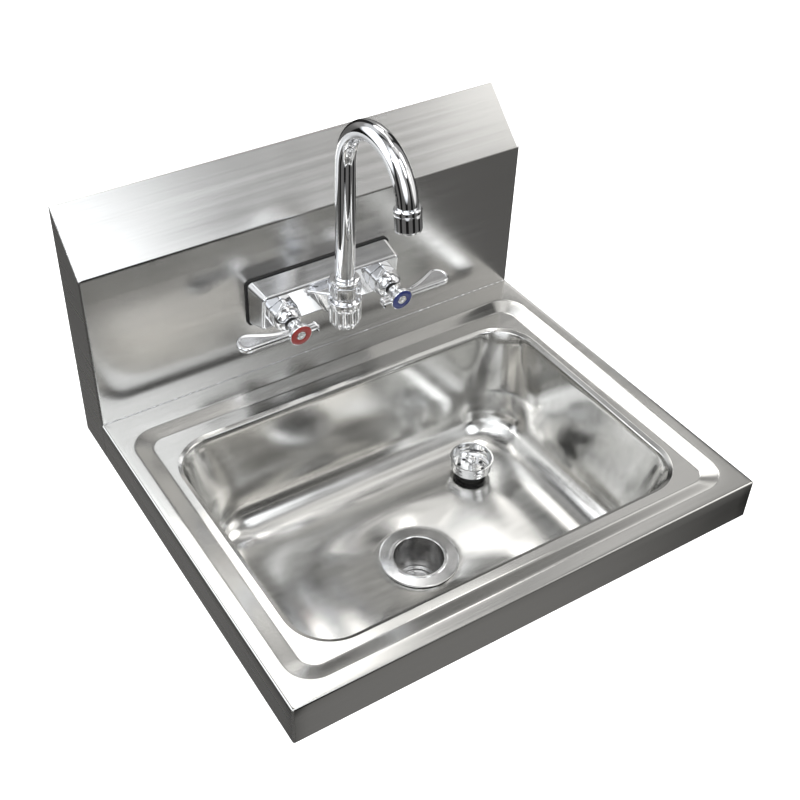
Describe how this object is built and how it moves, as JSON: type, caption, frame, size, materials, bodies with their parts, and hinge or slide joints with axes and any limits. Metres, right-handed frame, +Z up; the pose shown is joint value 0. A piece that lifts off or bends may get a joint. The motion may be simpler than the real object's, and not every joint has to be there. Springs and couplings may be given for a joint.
{
  "type": "wall-mount hand sink",
  "caption": "Wall-hung stainless hand-wash sink with a drawn bowl, tall backsplash, splash-mounted faucet with lever valves and a swivel gooseneck spout, drain and loose strainer basket.",
  "frame": {"origin": "on the wall plane, at the middle of the wall bracket's screw pattern", "axes": "+X to the right as a user faces the sink, +Y into the wall, +Z up; the sink stands out along -Y"},
  "size_m": [0.4318, 0.3836, 0.4585],
  "materials": {
    "brushed_stainless": "horizontally brushed stainless sheet, number 4 finish",
    "satin_stainless": "satin drawn stainless bowl",
    "polished_steel": "bright stainless",
    "zinc_plate": "zinc-plated steel",
    "chrome": "polished chrome plate",
    "brass": "plain machined brass",
    "black_rubber": "matte black rubber",
    "fibre": "fibre friction ring",
    "ceramic": "lapped white ceramic",
    "grey_plastic": "moulded plastic screen",
    "red_plastic": "red index ring",
    "blue_plastic": "blue index ring"
  },
  "bodies": {
    "sink": {"deck": "brushed_stainless", "bowl": "satin_stainless", "backsplash": "brushed_stainless", "splash_end_left": "brushed_stainless", "splash_end_right": "brushed_stainless", "wall_bracket": "zinc_plate", "drain_body": "polished_steel", "drain_grid": "polished_steel", "drain_flange_gasket": "black_rubber", "drain_seal_washer": "black_rubber", "drain_friction_ring": "fibre", "drain_locknut": "zinc_plate", "faucet_body": "chrome", "body_gasket": "black_rubber", "hot_inlet_shank": "brass", "cold_inlet_shank": "brass", "shank_washers": "zinc_plate", "shank_locknuts": "brass", "hot_bonnet": "chrome", "cold_bonnet": "chrome", "hot_fixed_disc": "ceramic", "cold_fixed_disc": "ceramic", "spout_nut": "chrome"},
    "hot_handle": {"hot_stem": "brass", "hot_turning_disc": "ceramic", "hot_stem_seal": "black_rubber", "hot_lever": "chrome", "hot_index_ring": "red_plastic", "hot_handle_screw": "polished_steel"},
    "cold_handle": {"cold_stem": "brass", "cold_turning_disc": "ceramic", "cold_stem_seal": "black_rubber", "cold_lever": "chrome", "cold_index_ring": "blue_plastic", "cold_handle_screw": "polished_steel"},
    "spout": {"spout_tube": "chrome", "spout_o_rings": "black_rubber", "spout_retaining_ring": "brass", "outlet_collar": "chrome", "aerator_housing": "chrome", "aerator_washer": "black_rubber", "aerator_insert": "grey_plastic"},
    "basket": {"basket_cup": "polished_steel", "basket_post": "polished_steel", "basket_stopper": "black_rubber"}
  },
  "joints": [
    {"name": "hot_valve", "type": "hinge", "parent": "sink", "child": "hot_handle", "pos_m": [-0.0508, -0.071, -0.0742], "axis": [0, -0.9945, -0.1045], "range_deg": [0, 90]},
    {"name": "cold_valve", "type": "hinge", "parent": "sink", "child": "cold_handle", "pos_m": [0.0508, -0.071, -0.0742], "axis": [0, -0.9945, -0.1045], "range_deg": [-90, 0]},
    {"name": "spout_swivel", "type": "hinge", "parent": "sink", "child": "spout", "pos_m": [0, -0.093, 0], "axis": [0, 0, 1], "range_deg": [-150, 150]},
    {"name": "basket_lift", "type": "slide", "parent": "sink", "child": "basket", "axis": [0, 0, 1], "range_m": [0, 0.13]}
  ]
}
